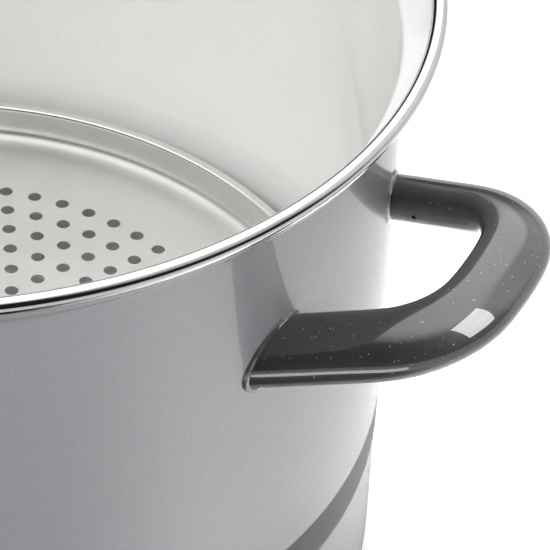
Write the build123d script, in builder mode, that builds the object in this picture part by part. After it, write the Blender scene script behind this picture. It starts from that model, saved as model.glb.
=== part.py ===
"""Water bath canner: an enamelled steel pot with two tube handles, a perforated rack and a lid.

Millimetres, +Z up.  The origin is the middle of the pot's flat bottom, on the counter.
The side handles lie along +X and -X.  The lid lies on the counter on the -Y side.
"""

import math
import os

from build123d import *

# ---------------------------------------------------------------- driving dimensions
rim_radius = 185.3          # outside of the pot's steel rim band
pot_height = 265.0          # counter to the top of the rim band
wall_radius = 172.0         # outside of the pot's wall
steel_thickness = 1.0       # drawn steel with its coloured enamel
lining_thickness = 0.5      # white enamel coat inside
corner_radius = 22.0        # bottom corner of the pot

band_radius = 2.9           # the rim band is a rolled bead of eight flats
band_flats = 8
band_sheet = 0.8            # thickness of its steel
band_play = 0.1             # each side of the lip where it enters the bead
flare_start = 18.0          # below the pot's top, where the wall turns outward
flare_end = 7.8             # below the pot's top, where the lip turns upright

step_level = 191.5          # below the pot's top: the wall is slightly narrower under this
step_depth = 0.4
step_blend = 4.0            # height over which the radius changes

handle_root = 71.5          # below the pot's top, at the wall
handle_rise = 18.7          # degrees, upward slope of the handle's loop
handle_long = 12.6          # half the oval tube's width
handle_short = 8.45         # half the oval tube's thickness
handle_wall = 1.2           # thickness of the tube's steel
handle_lean = -36.0         # degrees, the oval's lean about the tube's own line
leg_spread = 48.7           # half the distance between a handle's two legs, at the wall
handle_origin = 161.9       # X of the loop's own origin, just inside the wall
corner_reach = 63.4         # along the slope: where a leg would meet the grip
corner_spread = 37.8
grip_reach = 66.5           # along the slope: middle of the grip
handle_bends = [31.0, 150.0, 31.0]
leg_buried = 8.0            # extra tube, trimmed to the wall's curve
vent_radius = 0.9           # small hole that lets the tube breathe in the enamel kiln
vent_reach = 14.0           # from the wall, on the inner side of the rear leg

bead_width = 2.2            # weld bead around each leg, outward from the tube
bead_height = 2.6           # and outward from the wall

tray_top = 173.0            # below the pot's top: the rack's flange
tray_depth = 13.0           # flange to the perforated plate
tray_radius = 161.5
tray_wall_radius = 156.6
tray_sheet = 0.8
tray_corner = 6.0
tray_curl = 2.6             # height of the flange's turned-down edge
hole_radius = 2.75
ring_pitch = 11.75          # between one ring of holes and the next
hole_rings = 10
holes_per_ring = 6          # times the ring's number
rack_turn = 3.2             # degrees, how far round the rack happens to sit

leg_wire = 5.0              # diameter of the rack's feet
leg_circle = 138.0          # radius that the feet stand on
leg_width = 46.0
leg_bend = 9.0
leg_count = 4
rest_gap = 0.3              # between a loose piece and what it rests on

lid_gap = 25.0              # between the pot's rim and the lid beside it
lid_radius = 187.0
lid_steel = 0.9
lid_thickness = 1.4         # steel and white enamel together
lid_flange_top = 9.0        # counter to the top of the lid's flange
lid_band_width = 5.0
lid_band_height = 3.8
lid_band_bevel = 1.2        # flats on the band's outer edges, close to their rounding
lid_land = 160.0            # radius of the pressed ring that the lid stands on
lid_shoulder = 143.0
lid_shoulder_height = 14.0
lid_crown = 34.0            # height of the dome's middle
lid_grip_half = 47.0        # half the distance between the lid handle's legs
lid_grip_height = 38.0      # from the dome up to the grip's middle
lid_grip_bend = 20.0        # radius of the handle's two corners
lid_grip_long = 10.5
lid_grip_short = 6.8

floor_height = steel_thickness + lining_thickness
band_slot = floor_height + 2 * band_play
band_middle = rim_radius - band_radius
lip_radius = band_middle + floor_height / 2
lip_top = pot_height - band_sheet - band_play
root_height = pot_height - handle_root
lid_edge = lid_radius - band_sheet - band_play
lid_y = -(rim_radius + lid_gap + lid_radius)
lid_axis = Axis((0, lid_y, 0), (0, 0, 1))
lid_plane = Plane(origin=(0, lid_y, 0), x_dir=(1, 0, 0), z_dir=(0, -1, 0))

os.makedirs("parts", exist_ok=True)


def save(builder, name):
    """Label one finished sub-part and write its STEP file."""
    builder.part.label = name
    export_step(builder.part, f"parts/{name}.step")


# ---------------------------------------------------------------- sheet-metal layers
def layer(outline, plane, axis, near, far):
    """Revolved coat that lies between two depths, near and far, behind an outline's face."""
    with BuildPart() as coat:
        with BuildSketch(plane):
            with BuildLine():
                outline()
                offset(amount=far, side=Side.LEFT, closed=True)
            make_face()
            if near > 0:
                with BuildLine():
                    outline()
                    offset(amount=near, side=Side.LEFT, closed=True)
                make_face(mode=Mode.SUBTRACT)
        revolve(axis=axis)
    return coat


# ---------------------------------------------------------------- pot
def pot_outline():
    """Outer face of the pot's sheet, from the middle of its bottom up to its lip."""
    lower_radius = wall_radius - step_depth
    FilletPolyline(
        (0, 0),
        (lower_radius, 0),
        (lower_radius, pot_height - step_level),
        (wall_radius, pot_height - step_level + step_blend),
        (wall_radius, pot_height - flare_start),
        (lip_radius, pot_height - flare_end),
        (lip_radius, lip_top),
        radius=[corner_radius, 20, 20, 4, 4],
    )


pot_shell = layer(pot_outline, Plane.XZ, Axis.Z, 0, steel_thickness)
save(pot_shell, "pot_shell")

pot_lining = layer(pot_outline, Plane.XZ, Axis.Z, steel_thickness, floor_height)
save(pot_lining, "pot_lining")

with BuildPart() as rim_band:
    with BuildSketch(Plane.XZ):
        with Locations((band_middle, pot_height - band_radius)):
            RegularPolygon(band_radius, band_flats, major_radius=False, rotation=180 / band_flats)
            RegularPolygon(
                band_radius - band_sheet,
                band_flats,
                major_radius=False,
                rotation=180 / band_flats,
                mode=Mode.SUBTRACT,
            )
        with Locations((band_middle, pot_height - 1.5 * band_radius)):
            Rectangle(band_slot, band_radius, mode=Mode.SUBTRACT)
    revolve(axis=Axis.Z)
save(rim_band, "rim_band")


# ---------------------------------------------------------------- side handles
slope = math.radians(handle_rise)
loop_plane = Plane(
    origin=(handle_origin, 0, root_height),
    x_dir=(math.cos(slope), 0, math.sin(slope)),
    z_dir=(-math.sin(slope), 0, math.cos(slope)),
)
leg_slope = (leg_spread - corner_spread) / corner_reach


def leg_section(side):
    """Plane across one leg, at the loop's buried end, its X along the oval's long axis.

    side is +1 for the leg on the +Y side and -1 for the other.
    """
    start = loop_plane.from_local_coords((-leg_buried, side * (leg_spread + leg_slope * leg_buried), 0))
    ahead = loop_plane.from_local_coords((corner_reach, side * corner_spread, 0))
    along = (Vector(*ahead) - Vector(*start)).normalized()
    outward = along.cross(loop_plane.z_dir) * -side
    lean = math.radians(handle_lean)
    long_axis = outward * math.cos(lean) + loop_plane.z_dir * math.sin(lean)
    return Plane(origin=start, x_dir=long_axis, z_dir=along)


with BuildPart() as handle_right:
    with BuildLine(loop_plane) as loop:
        FilletPolyline(
            (-leg_buried, leg_spread + leg_slope * leg_buried),
            (corner_reach, corner_spread),
            (grip_reach, 0),
            (corner_reach, -corner_spread),
            (-leg_buried, -leg_spread - leg_slope * leg_buried),
            radius=handle_bends,
        )
    with BuildSketch(leg_section(1)):
        Ellipse(handle_long, handle_short)
    sweep(path=loop.line)
    with BuildSketch(leg_section(1)):
        Ellipse(handle_long - handle_wall, handle_short - handle_wall)
    sweep(path=loop.line, mode=Mode.SUBTRACT)
    with Locations((0, 0, root_height)):
        Cylinder(radius=wall_radius, height=200, mode=Mode.SUBTRACT)
    vent_start = (wall_radius + vent_reach - 7, leg_spread - 5, root_height + 6)
    with BuildSketch(Plane(origin=vent_start, x_dir=(1, 0, 0), z_dir=(0, -1, 0))):
        Circle(vent_radius)
    extrude(amount=12, mode=Mode.SUBTRACT)
save(handle_right, "handle_right")

with BuildPart() as handle_left:
    add(handle_right.part.rotate(Axis.Z, 180))
save(handle_left, "handle_left")


def weld_bead(side, turn):
    """Ring of weld around one handle leg, where it meets the wall."""
    with BuildPart() as bead:
        with BuildSketch(leg_section(side)):
            Ellipse(handle_long + bead_width, handle_short + bead_width)
            Ellipse(handle_long, handle_short, mode=Mode.SUBTRACT)
        extrude(amount=35)
        with Locations((0, 0, root_height)):
            Cylinder(radius=wall_radius + bead_height, height=120, mode=Mode.INTERSECT)
            Cylinder(radius=wall_radius, height=120, mode=Mode.SUBTRACT)
    with BuildPart() as placed:
        add(bead.part.rotate(Axis.Z, turn))
    return placed


for turn, handle_side in [(0, "right"), (180, "left")]:
    for side, leg in [(1, "rear"), (-1, "front")]:
        save(weld_bead(side, turn), f"weld_{handle_side}_{leg}")


# ---------------------------------------------------------------- rack
flange_height = pot_height - tray_top
plate_height = flange_height - tray_depth

with BuildPart() as rack_tray:
    with BuildSketch(Plane.XZ):
        with BuildLine():
            FilletPolyline(
                (0, plate_height),
                (tray_wall_radius - 1, plate_height),
                (tray_wall_radius, flange_height),
                (tray_radius, flange_height),
                (tray_radius, flange_height - tray_curl),
                (tray_radius - tray_sheet, flange_height - tray_curl),
                (tray_radius - tray_sheet, flange_height - tray_sheet),
                (tray_wall_radius + tray_sheet, flange_height - tray_sheet),
                (tray_wall_radius + tray_sheet - 1, plate_height - tray_sheet),
                (0, plate_height - tray_sheet),
                radius=[tray_corner, 2.0, 1.4, 0, 0, 0.6, 1.2, tray_corner + tray_sheet],
            )
            Line((0, plate_height - tray_sheet), (0, plate_height))
        make_face()
    revolve(axis=Axis.Z)
    with BuildSketch(Plane.XY.offset(plate_height - 2 * tray_sheet)):
        Circle(hole_radius)
        for ring in range(1, hole_rings + 1):
            with PolarLocations(ring * ring_pitch, ring * holes_per_ring, start_angle=rack_turn):
                Circle(hole_radius)
    extrude(amount=3 * tray_sheet, mode=Mode.SUBTRACT)
save(rack_tray, "rack_tray")

leg_top = plate_height - tray_sheet
leg_bottom = floor_height + rest_gap + leg_wire / 2


def rack_leg(turn):
    """Bent wire foot, a wide U hanging from the plate."""
    angle = math.radians(turn)
    outward = Vector(math.cos(angle), math.sin(angle), 0)
    sideways = Vector(-math.sin(angle), math.cos(angle), 0)
    facing = Plane(origin=outward * leg_circle, x_dir=sideways, z_dir=outward)
    with BuildPart() as leg:
        with BuildLine(facing) as wire:
            FilletPolyline(
                (-leg_width / 2, leg_top),
                (-leg_width / 2, leg_bottom),
                (leg_width / 2, leg_bottom),
                (leg_width / 2, leg_top),
                radius=leg_bend,
            )
        with BuildSketch(Plane(origin=wire.line @ 0, z_dir=wire.line % 0)):
            Circle(leg_wire / 2)
        sweep(path=wire.line)
    return leg


for number in range(leg_count):
    turn = rack_turn + 45 + number * 360 / leg_count
    save(rack_leg(turn), f"rack_leg_{number + 1}")


# ---------------------------------------------------------------- lid
def lid_outline():
    """Upper face of the lid's sheet, from its flange's edge in to the middle of its dome."""
    FilletPolyline(
        (lid_edge, lid_flange_top),
        (lid_land + 9, lid_flange_top),
        (lid_land + 4, lid_thickness),
        (lid_land - 5, lid_thickness),
        (lid_shoulder, lid_shoulder_height),
        (lid_shoulder / 2, lid_crown),
        (0, lid_crown),
        radius=[2.4, 2.4, 4, 12, 300],
    )


def lid_body():
    """Everything below the lid's upper face, as a tool for trimming what stands on it."""
    with BuildPart() as body:
        with BuildSketch(lid_plane):
            with BuildLine():
                lid_outline()
                Polyline((0, lid_crown), (0, -5), (lid_edge, -5), (lid_edge, lid_flange_top))
            make_face()
        revolve(axis=lid_axis)
    return body.part


lid_shell = layer(lid_outline, lid_plane, lid_axis, 0, lid_steel)
save(lid_shell, "lid_shell")

lid_lining = layer(lid_outline, lid_plane, lid_axis, lid_steel, lid_thickness)
save(lid_lining, "lid_lining")

with BuildPart() as lid_rim_band:
    with BuildSketch(lid_plane):
        with Locations((lid_radius - lid_band_width / 2, lid_flange_top - lid_thickness / 2)):
            folded = Rectangle(lid_band_width, lid_band_height)
        chamfer(folded.vertices().group_by(Axis.X)[-1], length=lid_band_bevel)
        with Locations((lid_edge - lid_band_width / 2, lid_flange_top - lid_thickness / 2)):
            Rectangle(lid_band_width, lid_thickness + 2 * band_play, mode=Mode.SUBTRACT)
    revolve(axis=lid_axis)
save(lid_rim_band, "lid_rim_band")

lid_grip_top = lid_crown + lid_grip_height
lid_grip_foot = lid_crown - 12
trim = lid_body()


def grip_section():
    """Plane across the lid handle's first leg, at its buried end."""
    start = lid_plane.from_local_coords((-lid_grip_half - 2, lid_grip_foot, 0))
    ahead = lid_plane.from_local_coords((-lid_grip_half + 6, lid_grip_top, 0))
    return Plane(origin=start, x_dir=(0, 1, 0), z_dir=Vector(*ahead) - Vector(*start))


with BuildPart() as lid_handle:
    with BuildLine(lid_plane) as arch:
        FilletPolyline(
            (-lid_grip_half - 2, lid_grip_foot),
            (-lid_grip_half + 6, lid_grip_top),
            (lid_grip_half - 6, lid_grip_top),
            (lid_grip_half + 2, lid_grip_foot),
            radius=lid_grip_bend,
        )
    with BuildSketch(grip_section()):
        Ellipse(lid_grip_long, lid_grip_short)
    sweep(path=arch.line)
    with BuildSketch(grip_section()):
        Ellipse(lid_grip_long - handle_wall, lid_grip_short - handle_wall)
    sweep(path=arch.line, mode=Mode.SUBTRACT)
    add(trim, mode=Mode.SUBTRACT)
save(lid_handle, "lid_handle")

with BuildPart() as lid_weld_left:
    with BuildSketch(grip_section()):
        Ellipse(lid_grip_long + bead_width, lid_grip_short + bead_width)
        Ellipse(lid_grip_long, lid_grip_short, mode=Mode.SUBTRACT)
    extrude(amount=25)
    with BuildSketch(lid_plane):
        with BuildLine():
            lid_outline()
            offset(amount=bead_height, side=Side.RIGHT, closed=True)
        make_face()
    revolve(axis=lid_axis, mode=Mode.INTERSECT)
save(lid_weld_left, "lid_weld_left")

with BuildPart() as lid_weld_right:
    add(lid_weld_left.part.rotate(lid_axis, 180))
save(lid_weld_right, "lid_weld_right")
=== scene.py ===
"""Looks of the water bath canner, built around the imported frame.  Metres, +Z up."""

import math

import bmesh
import bpy
from mathutils import Matrix, Vector, noise


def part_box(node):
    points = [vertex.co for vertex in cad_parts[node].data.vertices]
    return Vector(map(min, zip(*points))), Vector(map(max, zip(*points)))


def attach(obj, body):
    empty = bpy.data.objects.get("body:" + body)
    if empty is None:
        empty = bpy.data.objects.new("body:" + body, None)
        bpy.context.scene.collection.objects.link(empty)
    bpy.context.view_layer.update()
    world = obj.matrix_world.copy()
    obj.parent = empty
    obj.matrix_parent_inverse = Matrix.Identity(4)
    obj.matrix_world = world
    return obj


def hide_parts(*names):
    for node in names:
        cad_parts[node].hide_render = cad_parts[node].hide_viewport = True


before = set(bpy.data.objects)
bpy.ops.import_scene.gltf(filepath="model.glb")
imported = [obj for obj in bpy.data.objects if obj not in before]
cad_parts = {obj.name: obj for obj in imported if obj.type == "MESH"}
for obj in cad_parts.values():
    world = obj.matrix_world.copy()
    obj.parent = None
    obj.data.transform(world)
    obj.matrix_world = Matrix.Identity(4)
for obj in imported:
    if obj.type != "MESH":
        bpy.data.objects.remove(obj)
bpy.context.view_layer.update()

MM = 0.001

# ---------------------------------------------------------------- sizes, from the frame
_, shell_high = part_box("pot_shell")
band_low, band_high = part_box("rim_band")
_, tray_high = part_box("rack_tray")
foot_low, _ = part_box("rack_leg_1")
lid_low, lid_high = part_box("lid_shell")
lid_band_low, lid_band_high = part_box("lid_rim_band")
_, handle_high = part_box("handle_right")

RIM_RADIUS = band_high.x
POT_TOP = band_high.z
BAND_RADIUS = (band_high.z - band_low.z) / 2
BAND_SHEET = 0.8 * MM
LIP_RADIUS = shell_high.x
LIP_TOP = shell_high.z
WALL_RADIUS = 172.0 * MM
STEP_DEPTH = 0.4 * MM
STEP_TOP = POT_TOP - 172.0 * MM
STEP_BOTTOM = POT_TOP - 191.5 * MM
CORNER_RADIUS = 22.0 * MM
FLARE_START = POT_TOP - 18.0 * MM
FLARE_END = POT_TOP - 7.8 * MM
STEEL = 1.0 * MM
WALL = 1.5 * MM

LID_Y = (lid_low.y + lid_high.y) / 2
AROUND = 320                     # segments round the pot


# ---------------------------------------------------------------- outlines
def rounded(points, radii, step=math.radians(6)):
    """The polyline with its inner corners rounded, as a list of 2D points."""
    line = [Vector(points[0])]
    for before, corner, after, radius in zip(points, points[1:], points[2:], radii):
        corner = Vector(corner)
        inward = (Vector(before) - corner).normalized()
        outward = (Vector(after) - corner).normalized()
        half = inward.angle(outward) / 2
        if radius <= 0 or half > math.pi / 2 - 1e-4:
            line.append(corner)
            continue
        reach = radius / math.tan(half)
        start = corner + inward * reach
        end = corner + outward * reach
        centre = corner + (inward + outward).normalized() * radius / math.sin(half)
        turn = math.pi - 2 * half
        steps = max(2, math.ceil(turn / step))
        sweep = (end - centre).angle_signed(start - centre)
        for i in range(steps + 1):
            arm = start - centre
            arm.rotate(Matrix.Rotation(sweep * i / steps, 2))
            line.append(centre + arm)
    line.append(Vector(points[-1]))
    return line


def subdivided(line, longest):
    """The same line with no run longer than the given length."""
    out = [line[0]]
    for a, b in zip(line, line[1:]):
        count = max(1, math.ceil((b - a).length / longest))
        out += [a.lerp(b, i / count) for i in range(1, count + 1)]
    return out


def shifted(line, distance):
    """The line moved sideways to its left by a distance."""
    out = []
    for i, point in enumerate(line):
        ahead = line[min(i + 1, len(line) - 1)] - line[max(i - 1, 0)]
        side = Vector((-ahead.y, ahead.x)).normalized()
        out.append(point + side * distance)
    return out


# ---------------------------------------------------------------- meshes
def piece(name, mesh, material, body, slot, *replaced):
    """A finished object: smooth shaded, with its material, riding on its body."""
    obj = bpy.data.objects.new(name, mesh)
    bpy.context.scene.collection.objects.link(obj)
    mesh.shade_smooth()
    mesh.set_sharp_from_angle(angle=math.radians(40))
    obj.data.materials.append(material)
    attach(obj, body)
    if replaced:
        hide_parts(*replaced)
    return obj


def mesh_of(name, verts, faces):
    mesh = bpy.data.meshes.new(name)
    mesh.from_pydata([tuple(v) for v in verts], [], faces)
    builder = bmesh.new()
    builder.from_mesh(mesh)
    bmesh.ops.remove_doubles(builder, verts=builder.verts, dist=1e-7)
    bmesh.ops.recalc_face_normals(builder, faces=builder.faces)
    builder.to_mesh(mesh)
    builder.free()
    return mesh


def lathe(name, profile, closed=True, around=AROUND, centre_y=0.0):
    """Mesh of revolution about a vertical axis; points at radius 0 become one vertex."""
    verts = []
    rings = []
    for radius, height in profile:
        if radius < 1e-6:
            rings.append([len(verts)])
            verts.append((0, centre_y, height))
            continue
        rings.append(list(range(len(verts), len(verts) + around)))
        for i in range(around):
            turn = 2 * math.pi * i / around
            verts.append((radius * math.cos(turn), centre_y + radius * math.sin(turn), height))
    pairs = list(zip(rings, rings[1:]))
    if closed:
        pairs.append((rings[-1], rings[0]))
    faces = []
    for low, high in pairs:
        if len(low) == 1 and len(high) == 1:
            continue
        for i in range(around):
            j = (i + 1) % around
            quad = [low[i % len(low)], low[j % len(low)], high[j % len(high)], high[i % len(high)]]
            faces.append(list(dict.fromkeys(quad)))
    return mesh_of(name, verts, faces)


def loft(name, rings, capped=True, looped=False):
    """Mesh through rings of equal length; looped joins the last ring to the first."""
    count = len(rings[0])
    verts = [v for ring in rings for v in ring]
    faces = []
    spans = len(rings) if looped else len(rings) - 1
    for r in range(spans):
        a, b = r * count, ((r + 1) % len(rings)) * count
        for i in range(count):
            j = (i + 1) % count
            faces.append([a + i, a + j, b + j, b + i])
    if capped and not looped:
        faces.append(list(range(count))[::-1])
        faces.append([(len(rings) - 1) * count + i for i in range(count)])
    return mesh_of(name, verts, faces)


# ---------------------------------------------------------------- shader building
class Shader:
    """Short way to write a node tree: each call adds one node and returns it."""

    def __init__(self, tree):
        self.tree = tree
        self.tree.nodes.clear()

    def add(self, kind, settings=None, **inputs):
        node = self.tree.nodes.new("ShaderNode" + kind)
        for key, value in (settings or {}).items():
            setattr(node, key, value)
        for key, value in inputs.items():
            self.put(node, key.replace("_", " "), value)
        return node

    def put(self, node, key, value):
        by_number = key[0] == "n" and key[1:].isdigit()
        socket = node.inputs[int(key[1:]) if by_number else key]
        if isinstance(value, bpy.types.Node):
            value = next(s for s in value.outputs if s.enabled)
        if isinstance(value, bpy.types.NodeSocket):
            self.tree.links.new(value, socket)
        else:
            socket.default_value = value

    def math(self, operation, a, b=0.0, clamp=False):
        return self.add("Math", {"operation": operation, "use_clamp": clamp}, n0=a, n1=b)

    def mix(self, factor, a, b, blend="MIX"):
        node = self.add("Mix", {"data_type": "RGBA", "blend_type": blend})
        for index, value in ((0, factor), (6, a), (7, b)):
            self.put(node, f"n{index}", value)
        return node.outputs[2]

    def ramp(self, source, low, high, steep="LINEAR"):
        """0 below low and 1 above high."""
        settings = {"interpolation_type": steep}
        return self.add("MapRange", settings, Value=source, From_Min=low, From_Max=high)

    def noise(self, place, scale, detail=2.0, rough=0.5):
        return self.add("TexNoise", None, Vector=place, Scale=scale, Detail=detail, Roughness=rough)

    def cells(self, place, scale):
        return self.add("TexVoronoi", None, Vector=place, Scale=scale)


def material(name, paint):
    """A node material; paint(shader, place) returns the inputs of its Principled shader."""
    made = bpy.data.materials.new(name)
    made.use_nodes = True
    shader = Shader(made.node_tree)
    place = shader.add("TexCoord").outputs["Object"]
    surface = shader.add("BsdfPrincipled")
    for key, value in paint(shader, place).items():
        shader.put(surface, key, value)
    output = shader.add("OutputMaterial")
    shader.tree.links.new(surface.outputs[0], output.inputs["Surface"])
    return made


def grey(value, tint=(1.0, 1.0, 1.0)):
    return tuple(value * t for t in tint) + (1.0,)


def flakes(s, place, size, share, seed):
    """Mask of scattered flakes: cells of the given size, of which a share is lit."""
    offset = s.add("VectorMath", {"operation": "ADD"}, n0=place, n1=(seed, seed * 0.7, seed * 0.3))
    cell = s.cells(offset.outputs[0], 1 / size)
    pick = s.add("SeparateColor", None, Color=cell.outputs["Color"])
    lit = s.ramp(pick.outputs[0], 1 - share, 1 - share * 0.6)
    core = s.ramp(cell.outputs["Distance"], 0.42, 0.18)
    return s.math("MULTIPLY", lit.outputs[0], core.outputs[0])


def orange_peel(s, place, scale, strength, distance=0.2 * MM):
    wave = s.noise(place, scale, 2.0, 0.45)
    return s.add("Bump", None, Strength=strength, Distance=distance, Height=wave.outputs[0])


def paint_grey_enamel(s, place):
    """Grey fired enamel with a fine metallic sparkle; below the wall's step runs a darker, less glossy
    band of painted shade.
    """
    cloud = s.ramp(s.noise(place, 9, 3.0).outputs[0], 0.3, 0.7)
    grain = s.ramp(s.noise(place, 1500, 2.0, 0.7).outputs[0], 0.25, 0.75)
    tone = s.mix(cloud.outputs[0], grey(0.200, (1.0, 0.98, 1.045)), grey(0.218, (1.0, 0.98, 1.05)))
    tone = s.mix(s.math("MULTIPLY", grain.outputs[0], 0.30), tone, grey(0.29, (1.0, 0.99, 1.04)))
    bright = flakes(s, place, 0.5 * MM, 0.08, 0.31)
    tone = s.mix(s.math("MULTIPLY", bright, 0.36), tone, grey(0.62))
    # painted shade: from the step down, the colour darkens and the coat thins in a band that stands in
    # for the step's shade
    height = s.add("SeparateXYZ", None, Vector=place).outputs[2]
    above = s.ramp(height, STEP_TOP + 0.3 * MM, STEP_TOP - 0.3 * MM).outputs[0]
    below = s.ramp(height, STEP_BOTTOM - 0.5 * MM, STEP_BOTTOM + 2.2 * MM, "SMOOTHSTEP").outputs[0]
    band = s.math("MULTIPLY", above, below)
    tone = s.mix(s.math("MULTIPLY", band, 0.94), tone, grey(0.045, (1.0, 0.97, 0.95)))
    gloss = s.math("SUBTRACT", 0.60, s.math("MULTIPLY", band, 0.58))
    rough = s.add("MapRange", None, Value=grain.outputs[0], To_Min=0.52, To_Max=0.42)
    return {
        "Base Color": tone,
        "Metallic": 0.2,
        "Roughness": rough.outputs[0],
        "IOR": 1.5,
        "Coat Weight": gloss,
        "Coat Roughness": 0.03,
        "Coat IOR": 1.8,
        "Normal": orange_peel(s, place, 260, 0.05).outputs[0],
    }


def paint_dark_enamel(s, place):
    """Dark grey-brown glossy enamel with sparse bright specks."""
    cloud = s.ramp(s.noise(place, 60, 3.0).outputs[0], 0.3, 0.7)
    tone = s.mix(cloud.outputs[0], grey(0.032, (1.0, 0.94, 0.98)), grey(0.050, (1.0, 0.94, 0.98)))
    fine = flakes(s, place, 0.4 * MM, 0.14, 1.7)
    tone = s.mix(s.math("MULTIPLY", fine, 0.4), tone, grey(0.20, (1.0, 0.96, 0.90)))
    bold = flakes(s, place, 0.6 * MM, 0.02, 4.3)
    tone = s.mix(s.math("MULTIPLY", bold, 0.8), tone, grey(0.7))
    rough = s.add("MapRange", None, Value=fine, To_Min=0.5, To_Max=0.35)
    return {
        "Base Color": tone,
        "Metallic": 0.1,
        "Roughness": rough.outputs[0],
        "Coat Weight": 1.0,
        "Coat Roughness": 0.03,
        "Coat IOR": 1.9,
        "Normal": orange_peel(s, place, 170, 0.10).outputs[0],
    }


def paint_weld_enamel(s, place):
    """Thick glossy enamel over the weld beads, painted lighter than the handle in uneven patches and
    with bright flecks, as painted highlights where the beads catch the light.
    """
    lump = s.ramp(s.noise(place, 420, 3.0).outputs[0], 0.35, 0.65)
    # painted highlight: lighter patches and bright flecks stand in for the beads' glints and reflections
    tone = s.mix(lump.outputs[0], grey(0.10, (1.0, 0.96, 0.97)), grey(0.30, (1.0, 0.98, 0.97)))
    painted_glint = flakes(s, place, 0.5 * MM, 0.12, 6.1)
    tone = s.mix(s.math("MULTIPLY", painted_glint, 0.7), tone, grey(0.8))
    return {
        "Base Color": tone,
        "Metallic": 0.3,
        "Roughness": s.add("MapRange", None, Value=lump.outputs[0], To_Min=0.35, To_Max=0.2).outputs[0],
        "Coat Weight": 1.0,
        "Coat Roughness": 0.03,
        "Coat IOR": 1.8,
        "Normal": orange_peel(s, place, 700, 0.5).outputs[0],
    }


def paint_white_enamel(s, place):
    """White fired enamel, very smooth, with a faint warm cloudiness."""
    cloud = s.ramp(s.noise(place, 14, 3.0).outputs[0], 0.3, 0.7)
    tone = s.mix(cloud.outputs[0], grey(0.90, (1.0, 1.0, 0.985)), grey(0.93, (1.0, 1.0, 0.99)))
    specks = flakes(s, place, 1.6 * MM, 0.02, 2.9)
    tone = s.mix(s.math("MULTIPLY", specks, 0.35), tone, grey(0.55, (1.0, 0.97, 0.93)))
    return {
        "Base Color": tone,
        "Roughness": 0.22,
        "Coat Weight": 0.7,
        "Coat Roughness": 0.05,
        "Normal": orange_peel(s, place, 120, 0.04).outputs[0],
    }


def spun(s, place, centre_y, scale, low, high):
    """Fine rings left by spinning and polishing, as a value from low to high."""
    local = s.add("VectorMath", {"operation": "SUBTRACT"}, n0=place, n1=(0, centre_y, 0))
    parts = s.add("SeparateXYZ", None, Vector=local.outputs[0])
    across = s.add("CombineXYZ", None, X=parts.outputs[0], Y=parts.outputs[1])
    radius = s.add("VectorMath", {"operation": "LENGTH"}, n0=across.outputs[0]).outputs["Value"]
    rings = s.add("CombineXYZ", None, X=radius, Y=parts.outputs[2])
    wave = s.noise(rings.outputs[0], scale, 3.0, 0.6)
    limits = {"From_Min": 0.3, "From_Max": 0.7, "To_Min": low, "To_Max": high}
    made = s.add("MapRange", None, Value=wave.outputs[0], **limits)
    return made.outputs[0], wave.outputs[0]


def paint_polished_steel(centre_y):
    def paint(s, place):
        rough, wave = spun(s, place, centre_y, 2600, 0.05, 0.12)
        cloud = s.ramp(s.noise(place, 90, 3.0).outputs[0], 0.35, 0.7)
        tone = s.mix(cloud.outputs[0], grey(0.72, (1.0, 0.995, 0.98)), grey(0.80, (1.0, 0.995, 0.985)))
        return {
            "Base Color": tone,
            "Metallic": 1.0,
            "Roughness": rough,
            "Normal": s.add("Bump", None, Strength=0.04, Distance=0.05 * MM, Height=wave).outputs[0],
        }

    return paint


def paint_rack_steel(s, place):
    """Pressed stainless: satin on the flat plate, brighter on its formed edge and on the wires."""
    rough, wave = spun(s, place, 0.0, 1400, -0.03, 0.03)
    parts = s.add("SeparateXYZ", None, Vector=place)
    lifted = s.ramp(parts.outputs[2], tray_high.z - 12.6 * MM, tray_high.z - 9 * MM).outputs[0]
    base = s.add("MapRange", None, Value=lifted, From_Min=0.0, From_Max=1.0, To_Min=0.40, To_Max=0.14)
    cloud = s.ramp(s.noise(place, 30, 3.0).outputs[0], 0.35, 0.7)
    tone = s.mix(cloud.outputs[0], grey(0.76, (1.0, 0.985, 0.955)), grey(0.82, (1.0, 0.985, 0.96)))
    return {
        "Base Color": tone,
        "Metallic": 0.85,
        "Roughness": s.math("ADD", base.outputs[0], rough).outputs[0],
        "Normal": s.add("Bump", None, Strength=0.05, Distance=0.05 * MM, Height=wave).outputs[0],
    }


grey_enamel = material("grey_enamel", paint_grey_enamel)
dark_enamel = material("dark_enamel", paint_dark_enamel)
weld_enamel = material("weld_enamel", paint_weld_enamel)
white_enamel = material("white_enamel", paint_white_enamel)
rim_steel = material("rim_steel", paint_polished_steel(0.0))
lid_steel = material("lid_steel", paint_polished_steel(LID_Y))
rack_steel = material("rack_steel", paint_rack_steel)


# ---------------------------------------------------------------- pot
LOWER_RADIUS = WALL_RADIUS - STEP_DEPTH
pot_line = rounded(
    [
        (0, 0),
        (LOWER_RADIUS, 0),
        (LOWER_RADIUS, STEP_BOTTOM),
        (WALL_RADIUS, STEP_BOTTOM + 4 * MM),
        (WALL_RADIUS, FLARE_START),
        (LIP_RADIUS, FLARE_END),
        (LIP_RADIUS, LIP_TOP),
    ],
    [CORNER_RADIUS, 20 * MM, 20 * MM, 4 * MM, 4 * MM],
)
pot_line = subdivided(pot_line, 25 * MM)
seam_line = shifted(pot_line, STEEL)
inner_line = shifted(pot_line, WALL)

piece(
    "pot_body", lathe("pot_body", pot_line + seam_line[::-1]),
    grey_enamel, "pot", "grey_enamel", "pot_shell",
)
piece(
    "pot_inside", lathe("pot_inside", seam_line + inner_line[::-1]),
    white_enamel, "pot", "white_enamel", "pot_lining",
)


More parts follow.
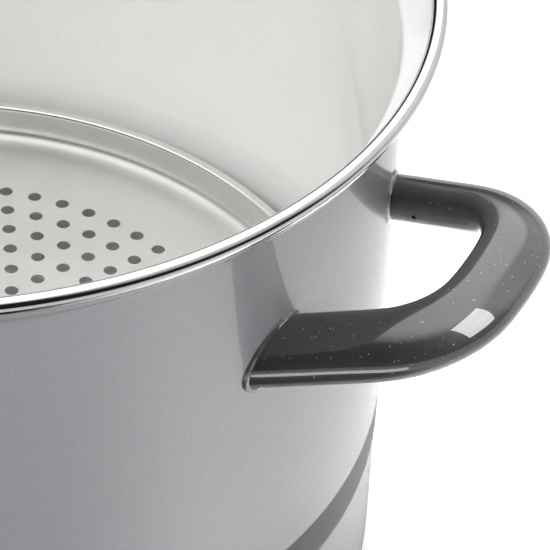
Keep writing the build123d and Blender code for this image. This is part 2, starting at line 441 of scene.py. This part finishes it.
def rolled_bead():
    """Section of the rim's steel band: a tube round the lip, open below where the lip enters."""
    gap = WALL / 2 + 0.1 * MM
    outer, inner = BAND_RADIUS, BAND_RADIUS - BAND_SHEET
    section = []
    for radius, order in ((outer, 1), (inner, -1)):
        start = math.asin(gap / radius) - math.pi / 2
        sweep = 2 * math.pi - 2 * math.asin(gap / radius)
        arc = [start + sweep * i / 40 for i in range(41)][::order]
        section += [
            (RIM_RADIUS - outer + radius * math.cos(t), POT_TOP - outer + radius * math.sin(t))
            for t in arc
        ]
    return section


piece(
    "rim_trim", lathe("rim_trim", rolled_bead(), around=480),
    rim_steel, "pot", "polished_steel", "rim_band",
)


# ---------------------------------------------------------------- oval tubes and weld beads
def tube_frames(path, up):
    """For each point of a path: the point, its direction and its outward side."""
    middle = sum(path, Vector()) / len(path)
    frames = []
    for i, point in enumerate(path):
        along = (path[min(i + 1, len(path) - 1)] - path[max(i - 1, 0)]).normalized()
        side = along.cross(up).normalized()
        if side.dot(point - middle) < 0:
            side = -side
        frames.append((point, along, side))
    return frames


def eased(path, rounds, keep):
    """The path with its curvature evened out; the points near both ends stay."""
    line = [p.copy() for p in path]
    for _ in range(rounds):
        line = [
            p if i < keep or i >= len(line) - keep else line[i - 1] * 0.25 + p * 0.5 + line[i + 1] * 0.25
            for i, p in enumerate(line)
        ]
    return line


def oval(point, side, up, long, short, lean, count):
    """Ring of an oval section whose long axis leans from side towards up."""
    first = side * math.cos(lean) + up * math.sin(lean)
    second = -side * math.sin(lean) + up * math.cos(lean)
    ring = []
    for i in range(count):
        turn = 2 * math.pi * i / count
        ring.append(point + first * (long * math.cos(turn)) + second * (short * math.sin(turn)))
    return ring


BEAD_SINK = 0.7 * MM             # how far a weld bead reaches into the sheet


def bead_around(name, ring, outward, radius, seed):
    """Weld bead: a slightly uneven bead along a closed ring of points, flat where it sinks in."""
    count = len(ring)
    rings = []
    for i, point in enumerate(ring):
        along = (ring[(i + 1) % count] - ring[i - 1]).normalized()
        up = outward(point)
        across = along.cross(up).normalized()
        size = radius * (1 + 0.14 * noise.noise(point * 260 + Vector((seed, 0, 0))))
        rings.append(
            [
                point + across * (size * math.cos(t)) + up * max(size * math.sin(t), -BEAD_SINK)
                for t in [2 * math.pi * k / 14 for k in range(14)]
            ]
        )
    return loft(name, rings, looped=True)


HANDLE_RISE = math.radians(18.7)
HANDLE_LEAN = math.radians(-36)
HANDLE_LONG = 12.6 * MM
HANDLE_SHORT = 8.45 * MM
LEG_SPREAD = 48.7 * MM
CORNER_SPREAD = 37.8 * MM
CORNER_REACH = 63.4 * MM
GRIP_REACH = 66.5 * MM
HANDLE_START = Vector((161.9 * MM, 0, POT_TOP - 71.5 * MM))
SECTION_POINTS = 56
WELD_BEAD = 1.5 * MM
VENT_RADIUS = 0.9 * MM
VENT_DEPTH = 12 * MM


def handle_path():
    """Middle line of the right-hand handle, from its rear leg to its front leg."""
    slope = Vector((math.cos(HANDLE_RISE), 0, math.sin(HANDLE_RISE)))
    flat = rounded(
        [
            (0, LEG_SPREAD),
            (CORNER_REACH, CORNER_SPREAD),
            (GRIP_REACH, 0),
            (CORNER_REACH, -CORNER_SPREAD),
            (0, -LEG_SPREAD),
        ],
        [31 * MM, 150 * MM, 31 * MM],
        math.radians(4),
    )
    flat = subdivided(flat, 2.0 * MM)
    path = [HANDLE_START + slope * p.x + Vector((0, p.y, 0)) for p in flat]
    return eased(path, 30, 4)


def wall_hit(point, direction):
    """Where a line from a point, followed backwards along a direction, meets the pot's wall."""
    a = direction.x ** 2 + direction.y ** 2
    b = 2 * (point.x * direction.x + point.y * direction.y)
    c = point.x ** 2 + point.y ** 2 - (WALL_RADIUS - 0.2 * MM) ** 2
    reach = (-b + math.sqrt(max(b * b - 4 * a * c, 0))) / (2 * a)
    return point + direction * reach


def side_handle(side, turn):
    """One loop handle with its vent hole and its two weld beads."""
    up = Vector((-math.sin(HANDLE_RISE), 0, math.cos(HANDLE_RISE)))
    frames = tube_frames(handle_path(), up)
    clear = [f for f in frames if math.hypot(f[0].x, f[0].y) > WALL_RADIUS + 6 * MM]
    rings = [
        oval(p, out, up, HANDLE_LONG, HANDLE_SHORT, HANDLE_LEAN, SECTION_POINTS)
        for p, _, out in clear
    ]
    ends = []
    for (_, along, _), ring in ((clear[0], rings[0]), (clear[-1], rings[-1])):
        heading = along if along.x > 0 else -along
        ends.append([wall_hit(p, heading) for p in ring])
    # rows between the wall and the first clear section keep the legs' quads short
    near = [[a.lerp(b, k / 3) for a, b in zip(ends[0], rings[0])] for k in range(3)]
    far = [[a.lerp(b, k / 3) for a, b in zip(ends[1], rings[-1])] for k in (2, 1, 0)]
    mesh = loft(f"handle_{side}_tube", near + rings + far)
    spin = Matrix.Rotation(turn, 4, "Z")
    vent = Vector((WALL_RADIUS + 7 * MM, LEG_SPREAD - 5 * MM, HANDLE_START.z + 6 * MM))
    pierce(mesh, vent, Vector((0, -1, 0)), VENT_RADIUS, VENT_DEPTH)
    mesh.transform(spin)
    piece(f"handle_{side}_tube", mesh, dark_enamel, "pot", "dark_enamel", f"handle_{side}")
    for leg, ring in (("rear", ends[0]), ("front", ends[1])):
        bead = bead_around(
            f"weld_{side}_{leg}_bead",
            ring,
            lambda p: Vector((p.x, p.y, 0)).normalized(),
            WELD_BEAD,
            turn + len(leg),
        )
        bead.transform(spin)
        piece(bead.name, bead, weld_enamel, "pot", "dark_enamel", f"weld_{side}_{leg}")


def pierce(mesh, start, direction, radius, depth):
    """Drills a round hole into a mesh, from start along direction."""
    host = bpy.data.objects.new("host", mesh)
    bpy.context.scene.collection.objects.link(host)
    builder = bmesh.new()
    bmesh.ops.create_cone(
        builder, segments=24, radius1=radius, radius2=radius, depth=depth, cap_ends=True
    )
    drill_mesh = bpy.data.meshes.new("drill")
    builder.to_mesh(drill_mesh)
    builder.free()
    drill = bpy.data.objects.new("drill", drill_mesh)
    bpy.context.scene.collection.objects.link(drill)
    aim = direction.to_track_quat("Z", "Y").to_matrix().to_4x4()
    drill.matrix_world = Matrix.Translation(start + direction * depth / 2) @ aim
    cut = host.modifiers.new("cut", "BOOLEAN")
    cut.operation = "DIFFERENCE"
    cut.solver = "EXACT"
    cut.object = drill
    bpy.context.view_layer.update()
    graph = bpy.context.evaluated_depsgraph_get()
    result = bpy.data.meshes.new_from_object(host.evaluated_get(graph))
    bpy.data.objects.remove(host)
    bpy.data.objects.remove(drill)
    builder = bmesh.new()
    builder.from_mesh(result)
    builder.to_mesh(mesh)
    builder.free()
    bpy.data.meshes.remove(result)


side_handle("right", 0.0)
side_handle("left", math.pi)


# ---------------------------------------------------------------- rack
HOLE_RADIUS = 2.75 * MM
RING_PITCH = 11.75 * MM
HOLE_RINGS = 10
RACK_TURN = math.radians(3.2)
TRAY_SHEET = 0.8 * MM
TRAY_RADIUS = tray_high.x
TRAY_WALL = TRAY_RADIUS - 4.9 * MM
TRAY_CURL = 2.6 * MM
FLANGE = tray_high.z
PLATE = FLANGE - 13.0 * MM
PLATE_EDGE = TRAY_WALL - 9 * MM


def circle(curve, x, y, radius, count):
    """Adds a closed polygon with many sides to a flat curve."""
    spline = curve.splines.new("POLY")
    spline.points.add(count - 1)
    for i, point in enumerate(spline.points):
        turn = 2 * math.pi * i / count
        point.co = (x + radius * math.cos(turn), y + radius * math.sin(turn), 0, 1)
    spline.use_cyclic_u = True


def perforated_plate():
    """Flat plate with rings of holes, as a filled curve turned into a mesh."""
    curve = bpy.data.curves.new("plate", "CURVE")
    curve.dimensions = "2D"
    curve.fill_mode = "BOTH"
    curve.extrude = TRAY_SHEET / 2
    circle(curve, 0, 0, PLATE_EDGE, AROUND)
    circle(curve, 0, 0, HOLE_RADIUS, 28)
    for ring in range(1, HOLE_RINGS + 1):
        for i in range(6 * ring):
            turn = RACK_TURN + 2 * math.pi * i / (6 * ring)
            reach = ring * RING_PITCH
            circle(curve, reach * math.cos(turn), reach * math.sin(turn), HOLE_RADIUS, 28)
    holder = bpy.data.objects.new("plate", curve)
    bpy.context.scene.collection.objects.link(holder)
    bpy.context.view_layer.update()
    mesh = bpy.data.meshes.new_from_object(holder)
    bpy.data.objects.remove(holder)
    mesh.transform(Matrix.Translation((0, 0, PLATE - TRAY_SHEET / 2)))
    return mesh


def tray_mesh():
    """The plate joined to its turned-up wall, flange and curled edge."""
    s = TRAY_SHEET
    top = rounded(
        [
            (PLATE_EDGE, PLATE),
            (TRAY_WALL - 1 * MM, PLATE),
            (TRAY_WALL, FLANGE),
            (TRAY_RADIUS, FLANGE),
            (TRAY_RADIUS, FLANGE - TRAY_CURL),
        ],
        [6 * MM, 2.0 * MM, 1.6 * MM],
    )
    skirt = lathe("skirt", top + shifted(top, -s)[::-1], closed=False)
    plate = perforated_plate()
    builder = bmesh.new()
    builder.from_mesh(plate)
    rim = [
        f for f in builder.faces
        if abs(f.normal.z) < 0.5 and all(math.hypot(v.co.x, v.co.y) > PLATE_EDGE - 1e-5 for v in f.verts)
    ]
    bmesh.ops.delete(builder, geom=rim, context="FACES_ONLY")
    builder.from_mesh(skirt)
    bmesh.ops.remove_doubles(builder, verts=builder.verts, dist=2e-6)
    bmesh.ops.recalc_face_normals(builder, faces=builder.faces)
    mesh = bpy.data.meshes.new("rack_tray_pressing")
    builder.to_mesh(mesh)
    builder.free()
    return mesh


piece("rack_tray_pressing", tray_mesh(), rack_steel, "rack", "rack_steel", "rack_tray")

WIRE = 5.0 * MM
LEG_CIRCLE = 138.0 * MM
LEG_WIDTH = 46.0 * MM
LEG_BOTTOM = foot_low.z + WIRE / 2
for number in range(4):
    angle = RACK_TURN + math.radians(45 + 90 * number)
    outward = Vector((math.cos(angle), math.sin(angle), 0))
    sideways = Vector((-math.sin(angle), math.cos(angle), 0))
    shape = rounded(
        [
            (-LEG_WIDTH / 2, PLATE - TRAY_SHEET),
            (-LEG_WIDTH / 2, LEG_BOTTOM),
            (LEG_WIDTH / 2, LEG_BOTTOM),
            (LEG_WIDTH / 2, PLATE - TRAY_SHEET),
        ],
        [9 * MM, 9 * MM],
    )
    path = [outward * LEG_CIRCLE + sideways * p.x + Vector((0, 0, p.y)) for p in shape]
    rings = [
        oval(p, side, outward, WIRE / 2, WIRE / 2, 0, 20)
        for p, _, side in tube_frames(path, outward)
    ]
    name = f"rack_leg_{number + 1}"
    piece(name + "_wire", loft(name + "_wire", rings), rack_steel, "rack", "rack_steel", name)


# ---------------------------------------------------------------- lid
LID_EDGE = lid_high.x
LID_RADIUS = lid_band_high.x
LID_WALL = 1.4 * MM
LID_STEEL = 0.9 * MM
FLANGE_TOP = (lid_band_low.z + lid_band_high.z + LID_WALL) / 2
LID_LAND = 160 * MM
LID_SHOULDER = 143 * MM
LID_CROWN = lid_high.z
lid_line = subdivided(
    rounded(
        [
            (LID_EDGE, FLANGE_TOP),
            (LID_LAND + 9 * MM, FLANGE_TOP),
            (LID_LAND + 4 * MM, LID_WALL),
            (LID_LAND - 5 * MM, LID_WALL),
            (LID_SHOULDER, 14 * MM),
            (LID_SHOULDER / 2, LID_CROWN),
            (0, LID_CROWN),
        ],
        [2.4 * MM, 2.4 * MM, 4 * MM, 12 * MM, 300 * MM],
        math.radians(4),
    ),
    12 * MM,
)
lid_seam = shifted(lid_line, LID_STEEL)
lid_under = shifted(lid_line, LID_WALL)
piece(
    "lid_body", lathe("lid_body", lid_line + lid_seam[::-1], centre_y=LID_Y),
    grey_enamel, "lid", "grey_enamel", "lid_shell",
)
piece(
    "lid_inside", lathe("lid_inside", lid_seam + lid_under[::-1], centre_y=LID_Y),
    white_enamel, "lid", "white_enamel", "lid_lining",
)


def lid_band():
    """Section of the steel band round the lid's edge: a U on its side."""
    low, high = lid_band_low.z, lid_band_high.z
    inner = LID_RADIUS - 5 * MM
    s = (high - low - LID_WALL) / 2 - 0.1 * MM
    return rounded(
        [
            (inner, low + s / 2),
            (inner, low),
            (LID_RADIUS, low),
            (LID_RADIUS, high),
            (inner, high),
            (inner, high - s),
            (LID_RADIUS - s, high - s),
            (LID_RADIUS - s, low + s),
            (inner, low + s),
            (inner, low + s / 2),
        ],
        [0.3 * MM, 1.6 * MM, 1.6 * MM, 0.3 * MM, 0.3 * MM, 0.1 * MM, 0.1 * MM, 0.3 * MM],
        math.radians(9),
    )[:-1]


piece(
    "lid_trim", lathe("lid_trim", lid_band(), centre_y=LID_Y),
    lid_steel, "lid", "polished_steel", "lid_rim_band",
)

GRIP_HALF = 47 * MM
GRIP_TOP = LID_CROWN + 38 * MM
GRIP_FOOT = LID_CROWN - 12 * MM
GRIP_LONG = 10.5 * MM
GRIP_SHORT = 6.8 * MM
LID_WELD_BEAD = 1.4 * MM


def lid_grip():
    """The lid's arched handle, its feet trimmed to the dome, with a weld bead at each foot."""
    y_axis = Vector((0, 1, 0))
    shape = rounded(
        [
            (-GRIP_HALF - 2 * MM, GRIP_FOOT),
            (-GRIP_HALF + 6 * MM, GRIP_TOP),
            (GRIP_HALF - 6 * MM, GRIP_TOP),
            (GRIP_HALF + 2 * MM, GRIP_FOOT),
        ],
        [20 * MM, 20 * MM],
        math.radians(5),
    )
    path = [Vector((p.x, LID_Y, p.y)) for p in subdivided(shape, 2 * MM)]
    path = eased(path, 12, 5)
    frames = tube_frames(path, y_axis)
    clear = [f for f in frames if f[0].z > LID_CROWN + 4 * MM]
    rings = [
        oval(p, out, y_axis, GRIP_SHORT, GRIP_LONG, 0, SECTION_POINTS) for p, _, out in clear
    ]

    def foot(ring, along):
        heading = along if along.z > 0 else -along
        return [p - heading * ((p.z - dome_height(p) + 0.15 * MM) / heading.z) for p in ring]

    first, last = foot(rings[0], clear[0][1]), foot(rings[-1], clear[-1][1])
    near = [[a.lerp(b, k / 3) for a, b in zip(first, rings[0])] for k in range(3)]
    far = [[a.lerp(b, k / 3) for a, b in zip(last, rings[-1])] for k in (2, 1, 0)]
    mesh = loft("lid_grip", near + rings + far)
    piece("lid_grip", mesh, dark_enamel, "lid", "dark_enamel", "lid_handle")
    for side, ring in (("left", first), ("right", last)):
        bead = bead_around(
            f"lid_weld_{side}_bead", ring, lambda p: Vector((0, 0, 1)), LID_WELD_BEAD, 5.0
        )
        piece(bead.name, bead, weld_enamel, "lid", "dark_enamel", f"lid_weld_{side}")


def dome_height(point):
    """Height of the lid's upper face under a point."""
    radius = math.hypot(point.x, point.y - LID_Y)
    for a, b in zip(lid_line, lid_line[1:]):
        if b.x <= radius <= a.x:
            return a.y + (b.y - a.y) * (radius - a.x) / (b.x - a.x)
    return LID_CROWN


lid_grip()


# ---------------------------------------------------------------- stage, light and camera
FLOOR_LIFT = 0.4                 # light the floor gives off towards the camera only


def floor():
    """Pale floor, lifted to white for the camera without lighting the pot."""
    mesh = bpy.data.meshes.new("floor")
    size = 6.0
    corners = [(-size, -size, 0), (size, -size, 0), (size, size, 0), (-size, size, 0)]
    mesh.from_pydata(corners, [], [(0, 1, 2, 3)])
    obj = bpy.data.objects.new("floor", mesh)
    bpy.context.scene.collection.objects.link(obj)
    obj.location.z = -0.1 * MM

    def paint(s, place):
        cloud = s.ramp(s.noise(place, 2, 2.0).outputs[0], 0.3, 0.7)
        seen = s.add("LightPath").outputs["Is Camera Ray"]
        return {
            "Base Color": s.mix(cloud.outputs[0], grey(0.76), grey(0.79)),
            "Roughness": 0.6,
            "Emission Color": grey(1.0),
            "Emission Strength": s.math("MULTIPLY", seen, FLOOR_LIFT),
        }

    mesh.materials.append(material("pale_floor", paint))


TURN = math.radians(32.0)        # the camera stands this far round from the -Y side


def toward(azimuth, elevation):
    """Direction at an azimuth to the right of the camera's own side, and an elevation, in degrees."""
    turn = TURN + math.radians(azimuth - 90)
    rise = math.radians(elevation)
    return Vector((math.cos(turn) * math.cos(rise), math.sin(turn) * math.cos(rise), math.sin(rise)))


def softbox(name, azimuth, elevation, reach, width, height, radiance):
    """Rectangular light that faces the right-hand handle and lights the handles and grip only."""
    light = bpy.data.lights.new(name, "AREA")
    light.shape = "RECTANGLE"
    light.size = width
    light.size_y = height
    light.energy = radiance * math.pi * width * height
    obj = bpy.data.objects.new(name, light)
    bpy.context.scene.collection.objects.link(obj)
    target = Vector((handle_high.x - 15 * MM, 0, HANDLE_START.z))
    obj.location = target + toward(azimuth, elevation) * reach
    obj.rotation_euler = (target - obj.location).to_track_quat("-Z", "Y").to_euler()
    obj.visible_camera = False
    lights_only(obj, "handle_right_tube", "handle_left_tube", "lid_grip")


def lights_only(light, *names):
    """Keeps a light to the named pieces."""
    lit = bpy.data.collections.new(light.name + "_lit")
    for name in names:
        lit.objects.link(bpy.data.objects[name])
    light.light_linking.receiver_collection = lit


def fill(name, azimuth, elevation, reach, size, energy, spread, *names):
    """Square light, unseen in reflections, for everything or for the named pieces only."""
    light = bpy.data.lights.new(name, "AREA")
    light.size = size
    light.energy = energy
    light.spread = math.radians(spread)
    obj = bpy.data.objects.new(name, light)
    bpy.context.scene.collection.objects.link(obj)
    target = Vector((0, 0, POT_TOP / 2))
    obj.location = target + toward(azimuth, elevation) * reach
    obj.rotation_euler = (target - obj.location).to_track_quat("-Z", "Y").to_euler()
    obj.visible_camera = False
    obj.visible_glossy = False
    if names:
        lights_only(obj, *names)


def flag():
    """Black cloth on the floor on the camera's side, seen in polished surfaces only."""
    near, far = 0.19, 0.5                    # metres from the pot's axis
    start, end, count = -80, 60, 24          # degrees from the camera's side, and strips
    verts = []
    for i in range(count + 1):
        out = toward(start + (end - start) * i / count, 0)
        verts += [out * near, out * far]
    faces = [(2 * i, 2 * i + 1, 2 * i + 3, 2 * i + 2) for i in range(count)]
    mesh = bpy.data.meshes.new("flag")
    mesh.from_pydata([tuple(v + Vector((0, 0, 1.5 * MM))) for v in verts], [], faces)
    obj = bpy.data.objects.new("flag", mesh)
    bpy.context.scene.collection.objects.link(obj)
    obj.visible_camera = False
    obj.visible_diffuse = False
    obj.visible_shadow = False
    cloth = bpy.data.materials.new("black_cloth")
    cloth.use_nodes = True
    s = Shader(cloth.node_tree)
    place = s.add("TexCoord").outputs["Object"]
    level = s.add("VectorMath", {"operation": "MULTIPLY"}, n0=place, n1=(1, 1, 0))
    heading = s.add("VectorMath", {"operation": "NORMALIZE"}, n0=level.outputs[0])
    aim = s.add(
        "VectorMath", {"operation": "DOT_PRODUCT"}, n0=heading.outputs[0], n1=toward(-25, 0)
    )
    faded, full = math.cos(math.radians(78)), math.cos(math.radians(36))
    edge = s.ramp(aim.outputs["Value"], faded, full, "SMOOTHSTEP")
    dark = s.add("BsdfDiffuse", None, Color=grey(0.02))
    clear = s.add("BsdfTransparent")
    both = s.add("MixShader", None, n0=edge, n1=clear, n2=dark)
    output = s.add("OutputMaterial")
    s.tree.links.new(both.outputs[0], output.inputs["Surface"])
    mesh.materials.append(cloth)


# bright panels of the tent: azimuth, elevation, inner and outer angle in degrees, and radiance
PANELS = [
    (166, 44, 22, 36, 1.7),
    (125, 30, 22, 46, 0.8),
    (75, 52, 8, 32, 0.6),
    (180, 72, 24, 55, 1.7),
]


def studio():
    """A light tent: bright panels on a dim surround, and a plain pale backdrop for the camera."""
    world = bpy.data.worlds.new("studio")
    bpy.context.scene.world = world
    world.use_nodes = True
    s = Shader(world.node_tree)
    direction = s.add("TexCoord").outputs["Generated"]
    glow = 0.015
    for azimuth, elevation, inner, outer, radiance in PANELS:
        facing = toward(azimuth, elevation)
        aim = s.add("VectorMath", {"operation": "DOT_PRODUCT"}, n0=direction, n1=facing)
        faded, full = math.cos(math.radians(outer)), math.cos(math.radians(inner))
        inside = s.ramp(aim.outputs["Value"], faded, full, "SMOOTHSTEP")
        glow = s.math("MAXIMUM", glow, s.math("MULTIPLY", inside.outputs[0], radiance))
    tent = s.add("Background", None, Color=grey(1.0), Strength=glow)
    backdrop = s.add("Background", None, Color=grey(0.93), Strength=1.0)
    seen = s.add("LightPath").outputs["Is Camera Ray"]
    both = s.add("MixShader", None, n0=seen, n1=tent, n2=backdrop)
    output = s.add("OutputWorld")
    s.tree.links.new(both.outputs[0], output.inputs["Surface"])


CAMERA_REACH = 5.012             # times the rim's radius
CAMERA_RISE = 3.346
PAN = math.radians(-8.07)
TILT = math.radians(-39.13)
ROLL = math.radians(-3.11)
FRAME_WIDTH = 550
FOCAL = 3184                     # in pixels of a frame that is FRAME_WIDTH across


def camera():
    data = bpy.data.cameras.new("camera")
    data.sensor_width = 36
    data.lens = FOCAL / FRAME_WIDTH * data.sensor_width
    data.clip_end = 20
    obj = bpy.data.objects.new("camera", data)
    bpy.context.scene.collection.objects.link(obj)
    place = Matrix.Rotation(TURN, 4, "Z") @ Vector((0, -CAMERA_REACH * RIM_RADIUS, 0))
    place.z = POT_TOP + CAMERA_RISE * RIM_RADIUS
    aim = (
        Matrix.Rotation(TURN + PAN, 4, "Z")
        @ Matrix.Rotation(TILT, 4, "X")
        @ Matrix.Rotation(ROLL, 4, "Y")
        @ Matrix.Rotation(math.radians(90), 4, "X")
    )
    obj.matrix_world = Matrix.Translation(place) @ aim
    bpy.context.scene.camera = obj


floor()
studio()
flag()
softbox("window_softbox", 62, 42, 1.3, 0.75, 1.05, 5.6)
softbox("low_softbox", -27, -20, 0.5, 0.35, 0.16, 2.6)
fill("right_fill", 95, 38, 2.0, 1.4, 0.8, 120)
fill("top_fill", 0, 90, 1.8, 0.6, 3.5, 30, "floor")
fill("inside_fill", -50, 48, 1.8, 0.9, 3.0, 60, "pot_inside", "rack_tray_pressing")
fill("front_fill", -12, 25, 2.0, 1.2, 25, 120, "pot_body")
camera()
bpy.context.scene.view_settings.view_transform = "Standard"
